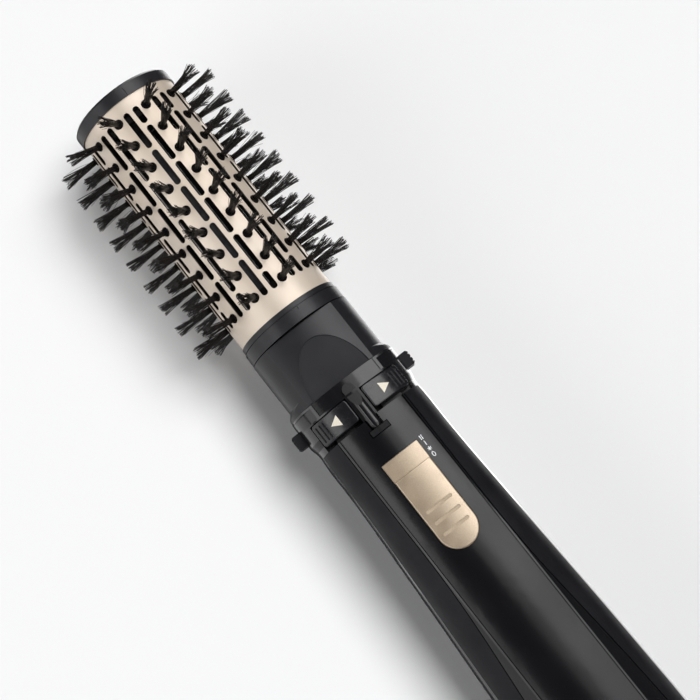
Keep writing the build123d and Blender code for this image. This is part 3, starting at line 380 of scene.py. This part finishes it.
def mica_sheet():
    """Pressed mica: tan, layered and slightly shiny."""
    s = Surface("mica_sheet", (0.50, 0.42, 0.30), 0.35, specular=0.6)
    s.vary_color(s.noise(300, 5.0), (0.40, 0.33, 0.23), (0.60, 0.52, 0.40))
    s.vary_roughness(s.noise(500, 3.0), 0.25, 0.5)
    s.bump(s.cells(900), 0.1, 0.05 * MM)
    return s.material


def heater_wire():
    """Resistance wire, unevenly darkened by its own heat."""
    s = Surface("heater_wire", (0.30, 0.26, 0.24), 0.45, metallic=1.0)
    s.vary_color(s.noise(400, 3.0), (0.20, 0.17, 0.17), (0.40, 0.34, 0.30))
    s.vary_roughness(s.noise(900, 2.0), 0.35, 0.55)
    return s.material


def white_nylon():
    """Moulded nylon, off-white."""
    s = Surface("white_nylon", (0.78, 0.78, 0.74), 0.42, specular=0.5)
    s.vary_color(s.noise(120, 2.0), (0.74, 0.74, 0.69), (0.82, 0.82, 0.79))
    s.vary_roughness(s.noise(400, 3.0), 0.36, 0.5)
    return s.material


def solder_mask():
    """A circuit board's dark lacquer."""
    s = Surface("solder_mask", (0.012, 0.014, 0.013), 0.32, specular=0.4)
    s.vary_color(s.noise(500, 3.0), (0.010, 0.012, 0.011), (0.020, 0.024, 0.022))
    s.vary_roughness(s.noise(700, 3.0), 0.22, 0.36)
    s.bump(s.noise(2500, 1.0, (1, 5, 1)), 0.1, 0.04 * MM)
    return s.material


def printed_mark(name, color):
    """Pad-printed ink: slightly uneven cover and a satin surface."""
    s = Surface(name, color, 0.45, specular=0.4)
    paler = tuple(min(1.0, c * 1.05) for c in color)
    darker = tuple(c * 0.9 for c in color)
    s.vary_color(s.noise(3000, 3.0), darker, paler)
    s.vary_roughness(s.noise(2500, 2.0), 0.4, 0.55)
    return s.material


def pale_floor():
    s = Surface("pale_floor", (0.90, 0.90, 0.90), 0.8, specular=0.0)
    s.vary_color(s.noise(6, 2.0), (0.893, 0.895, 0.90), (0.905, 0.905, 0.905))
    s.bump(s.noise(900, 3.0), 0.03, 0.1 * MM)
    return s.material


def dress_cad_nodes():
    looks = {
        champagne_metal: ["barrel"],
        champagne_paint: ["switch_plate", "heat_slider"],
        satin_black: ["end_cap", "rear_collar", "neck_sleeve"],
        grip_black: [
            "side_grip_left", "side_grip_right", "rear_cap", "cord_gland",
            "release_tab_left", "release_tab_right",
        ],
        gloss_black: ["control_ring", "lower_shell"],
        panel_black: ["top_panel"],
        button_black: ["rotate_button_left", "rotate_button_right"],
        cage_black: [
            "bristle_cage", "drive_hub", "fan_duct", "gear_case", "fan_impeller", "slide_switch",
        ],
        bare_steel: [
            "cap_screw", "journal_clip", "drive_shaft",
            "rotation_motor", "fan_motor", "release_spring_left", "release_spring_right",
            "thermal_cutout", "filter_screen",
        ],
        blued_steel: ["head_spindle", "heat_shield"],
        turned_brass: ["motor_pinion", "neck_bush", "shaft_bush"],
        mica_sheet: ["heater_board"],
        heater_wire: ["heater_coil"],
        white_nylon: ["output_gear"],
        solder_mask: ["circuit_board", "button_board"],
    }
    for make_material, nodes in looks.items():
        material = make_material()
        for node in nodes:
            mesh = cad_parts[node].data
            mesh.materials.clear()
            mesh.materials.append(material)


# ---------------------------------------------------------------- bristles
ROW_STEP = 360.0 / ROWS
ROW_END = 2.4 * MM
ROW_SEED = 100
FILAMENT_R = 0.145 * MM
FILAMENT_TAPER = 0.25
FILAMENT_SIDES = 4
FILAMENT_STEPS = 5
CLUMPS = 6
FILAMENTS_PER_CLUMP = 9
STRAYS = 4
TUFT_ROOT_R = BARREL_R - 0.3 * MM
TUFT_TIP_R = 36.0 * MM
FLOOR_CLEAR = 0.25 * MM

# How far things stray, in mm. A pair is the least and the most.
TUFT_LEAN = 0.5
CLUMP_SPREAD = (1.2, 2.5)
CLUMP_LENGTH = (-0.9, 0.3)
CLUMP_ROOT_R = 1.15
CLUMP_TIP_R = 0.75
HAIR_LENGTH = (-0.7, 0.4)
HAIR_SWAY = 0.15
STRAY_TIP_R = 3.2
STRAY_SHORTENING = (0.5, 4.0)
STRAY_SWAY = 0.8

# The same without a unit: an angle in radians, and shares.
CLUMP_TURN = 0.3
HAIR_BOW = (0.02, 0.16)
HAIR_THICKNESS = (0.85, 1.15)
STRAY_THICKNESS = 0.6


def add_filament(mesh, root, tip, bow, radius, low):
    """One hair: a thin tapering tube along a gently bowed line."""
    rings = []
    chord = tip - root
    side = chord.orthogonal().normalized()
    other = chord.normalized().cross(side)
    for step in range(FILAMENT_STEPS):
        t = step / (FILAMENT_STEPS - 1)
        centre = root + chord * t + bow * (4 * t * (1 - t))
        centre.z = max(centre.z, low)
        here = radius * (1.0 - FILAMENT_TAPER * t)
        ring = []
        for k in range(FILAMENT_SIDES):
            a = 2 * math.pi * k / FILAMENT_SIDES
            outward = side * math.cos(a) + other * math.sin(a)
            ring.append(mesh.verts.new(centre + outward * here))
        rings.append(ring)
    for lower, upper in zip(rings, rings[1:]):
        for k in range(FILAMENT_SIDES):
            j = (k + 1) % FILAMENT_SIDES
            mesh.faces.new((lower[k], lower[j], upper[j], upper[k]))
    mesh.faces.new(rings[0][::-1])
    mesh.faces.new(rings[-1])


def disc_point(rng, radius):
    """A point anywhere on a disc, evenly."""
    angle = rng.uniform(0, 2 * math.pi)
    reach = radius * math.sqrt(rng.random())
    return reach * math.cos(angle), reach * math.sin(angle)


def either_way(rng, most):
    return rng.uniform(-most, most)


def sway(rng, tangent, most):
    """A small push in any direction across a tuft. most is in mm."""
    along = Vector((1, 0, 0))
    return along * either_way(rng, most) * MM + tangent * either_way(rng, most) * MM


def add_tuft(mesh, rng, x, outward, tangent):
    """A tuft of folded nylon: clumps that part towards their ends, with a few stray hairs."""
    lean_x, lean_t = either_way(rng, TUFT_LEAN) * MM, either_way(rng, TUFT_LEAN) * MM
    start = rng.uniform(0, 2 * math.pi)
    for clump in range(CLUMPS):
        angle = start + 2 * math.pi * clump / CLUMPS + either_way(rng, CLUMP_TURN)
        spread = rng.uniform(*CLUMP_SPREAD) * MM
        clump_x, clump_t = spread * math.cos(angle) + lean_x, spread * math.sin(angle) + lean_t
        clump_r = TUFT_TIP_R + rng.uniform(*CLUMP_LENGTH) * MM
        for _ in range(FILAMENTS_PER_CLUMP):
            rx, rt = disc_point(rng, CLUMP_ROOT_R * MM)
            tx, tt = disc_point(rng, CLUMP_TIP_R * MM)
            root = centre_line(x + rx, outward, tangent, TUFT_ROOT_R, rt)
            reach = clump_r + rng.uniform(*HAIR_LENGTH) * MM
            tip = centre_line(x + clump_x + tx, outward, tangent, reach, clump_t + tt)
            pull = Vector((root.x - tip.x, 0, 0)) + tangent * (rt - clump_t)
            bow = pull * rng.uniform(*HAIR_BOW)
            bow += sway(rng, tangent, HAIR_SWAY)
            radius = FILAMENT_R * rng.uniform(*HAIR_THICKNESS)
            add_filament(mesh, root, tip, bow, radius, FLOOR_CLEAR)
    for _ in range(STRAYS):
        tx, tt = disc_point(rng, STRAY_TIP_R * MM)
        root = centre_line(x, outward, tangent, TUFT_ROOT_R, 0)
        reach = TUFT_TIP_R - rng.uniform(*STRAY_SHORTENING) * MM
        tip = centre_line(x + lean_x + tx, outward, tangent, reach, lean_t + tt)
        bow = sway(rng, tangent, STRAY_SWAY)
        add_filament(mesh, root, tip, bow, FILAMENT_R * STRAY_THICKNESS, FLOOR_CLEAR)


def centre_line(x, outward, tangent, reach, sideways):
    """A point at a place along the barrel, out from its axis and to one side."""
    return Vector((x, 0, AXIS_Z)) + outward * reach + tangent * sideways


def add_bristles():
    """One piece of loose hairs for each CAD row, which it replaces."""
    material = nylon_filament()
    for row in range(ROWS):
        node = f"bristle_row_{row + 1:02d}"
        low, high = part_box(node)
        half = (high.x - low.x) / 2 - ROW_END
        pitch = 2 * half / (TUFTS_PER_ROW - 1)
        angle = math.radians(ROW_STEP / 2 + ROW_STEP * row)
        outward = Vector((0, math.sin(angle), math.cos(angle)))
        tangent = Vector((0, math.cos(angle), -math.sin(angle)))
        rng = random.Random(ROW_SEED + row)
        mesh = bmesh.new()
        for tuft in range(TUFTS_PER_ROW):
            x = (low.x + high.x) / 2 - half + pitch * tuft
            add_tuft(mesh, rng, x, outward, tangent)
        data = bpy.data.meshes.new(f"bristle_tufts_{row + 1:02d}")
        mesh.to_mesh(data)
        mesh.free()
        data.shade_smooth()
        data.materials.append(material)
        piece = bpy.data.objects.new(data.name, data)
        bpy.context.scene.collection.objects.link(piece)
        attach(piece, "brush_head")
        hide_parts(node)


# ---------------------------------------------------------------- printed marks
MARK_THICK = 0.05 * MM
ARROW_BASE = 9.6 * MM
ARROW_APEX = 13.35 * MM
ARROW_HALF = 2.25 * MM
SETTING_STEP = 2.5 * MM
SETTING_START = 0.1 * MM
SETTING_GAP = 2.1 * MM
STROKE = 0.3 * MM
STROKE_OVERLAP = 1.2
BAR_LENGTH = 1.9 * MM
PAIR_HALF = 0.35 * MM
OVAL_R = (0.85 * MM, 0.5 * MM)
OVAL_STROKES = 12
FLAKE_ARM = 1.7 * MM
FLAKE_TURNS = (0, 1.05, -1.05)


def height_at(node, x, y):
    """The height of a CAD node's top surface at a point seen from above."""
    above, down = Vector((x, y, 1.0)), Vector((0, 0, -1))
    hit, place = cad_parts[node].ray_cast(above, down)[:2]
    if not hit:
        raise ValueError(f"{node} isn't under {x}, {y}")
    return place.z


def laid_mark(name, outline, node, body, material, cuts=3):
    """A thin printed shape that follows the surface below it. outline is a list of (x, y)."""
    mesh = bmesh.new()
    face = mesh.faces.new([mesh.verts.new((x, y, 0)) for x, y in outline])
    if face.normal.z < 0:
        face.normal_flip()
    bmesh.ops.triangulate(mesh, faces=mesh.faces[:])
    bmesh.ops.subdivide_edges(mesh, edges=mesh.edges[:], cuts=cuts, use_grid_fill=True)
    top = mesh.faces[:]
    for vertex in mesh.verts:
        vertex.co.z = height_at(node, vertex.co.x, vertex.co.y) + MARK_THICK
    walls = bmesh.ops.extrude_face_region(mesh, geom=top, use_keep_orig=True)
    for item in walls["geom"]:
        if isinstance(item, bmesh.types.BMVert):
            item.co.z -= 2 * MARK_THICK
    bmesh.ops.recalc_face_normals(mesh, faces=mesh.faces[:])
    data = bpy.data.meshes.new(name)
    mesh.to_mesh(data)
    mesh.free()
    data.materials.append(material)
    piece = bpy.data.objects.new(name, data)
    bpy.context.scene.collection.objects.link(piece)
    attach(piece, body)
    return piece


def joined(name, pieces):
    """Several marks as one piece, keeping the first one's body and slot."""
    first = pieces[0]
    mesh = bmesh.new()
    for piece in pieces:
        mesh.from_mesh(piece.data)
    mesh.to_mesh(first.data)
    mesh.free()
    for piece in pieces[1:]:
        bpy.data.objects.remove(piece)
    first.name = name


def bar(x, y, length_x, length_y, turn=0.0):
    """The corners of a rectangle round a point, turned by an angle in radians."""
    corners = ((-1, -1), (1, -1), (1, 1), (-1, 1))
    c, s = math.cos(turn), math.sin(turn)
    shape = []
    for i, j in corners:
        dx, dy = i * length_x / 2, j * length_y / 2
        shape.append((x + c * dx - s * dy, y + s * dx + c * dy))
    return shape


def add_arrow_marks():
    """A triangle on each rotation button, pointing the way that the brush turns."""
    cream = printed_mark("cream_print", (0.80, 0.74, 0.62))
    for name, side in (("left", 1), ("right", -1)):
        node = f"rotate_button_{name}"
        low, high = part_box(node)
        x = (low.x + high.x) / 2
        base, apex = side * ARROW_BASE, side * ARROW_APEX
        outline = [(x, apex), (x - ARROW_HALF, base), (x + ARROW_HALF, base)]
        laid_mark(f"arrow_mark_{name}", outline, node, f"rotate_{name}", cream)


def oval_strokes(x, y):
    """A closed oval drawn as short strokes."""
    radius_x, radius_y = OVAL_R
    length = 2 * STROKE_OVERLAP * math.pi * max(OVAL_R) / OVAL_STROKES
    strokes = []
    for k in range(OVAL_STROKES):
        a = 2 * math.pi * (k + 0.5) / OVAL_STROKES
        px, py = x + radius_x * math.cos(a), y + radius_y * math.sin(a)
        turn = math.atan2(radius_y * math.cos(a), -radius_x * math.sin(a))
        strokes.append(bar(px, py, length, STROKE, turn))
    return strokes


def add_switch_marks():
    """Settings beside the heat switch: fast, slow, cool air and off."""
    white = printed_mark("white_print", (0.82, 0.83, 0.84))
    slider_low, slider_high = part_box("heat_slider")
    y = slider_low.y - SETTING_GAP
    off, cool, slow, fast = (slider_high.x - SETTING_START + SETTING_STEP * k for k in range(4))
    strokes = {
        "off": oval_strokes(off, y),
        "cool": [bar(cool, y, FLAKE_ARM, STROKE, turn) for turn in FLAKE_TURNS],
        "slow": [bar(slow, y, BAR_LENGTH, STROKE)],
        "fast": [bar(fast, y + dy, BAR_LENGTH, STROKE) for dy in (-PAIR_HALF, PAIR_HALF)],
    }
    for mark, shapes in strokes.items():
        pieces = [
            laid_mark(f"{mark}_{k}", shape, "top_panel", "handle", white, 1)
            for k, shape in enumerate(shapes)
        ]
        joined(f"switch_mark_{mark}", pieces)


# ---------------------------------------------------------------- floor
FLOOR_SIZE = 6.0
FLOOR_DROP = 0.2 * MM


def add_floor():
    """The pale table, a hair below the object so that the two don't share a plane."""
    data = bpy.data.meshes.new("floor")
    corners = [(x, y, 0) for x, y in bar(0, 0, FLOOR_SIZE, FLOOR_SIZE)]
    data.from_pydata(corners, [], [(0, 1, 2, 3)])
    data.materials.append(pale_floor())
    floor = bpy.data.objects.new("floor", data)
    floor.location.z = -FLOOR_DROP
    floor.visible_glossy = False
    bpy.context.scene.collection.objects.link(floor)


add_camera()
add_lights()
add_floor()
dress_cad_nodes()
add_bristles()
add_arrow_marks()
add_switch_marks()
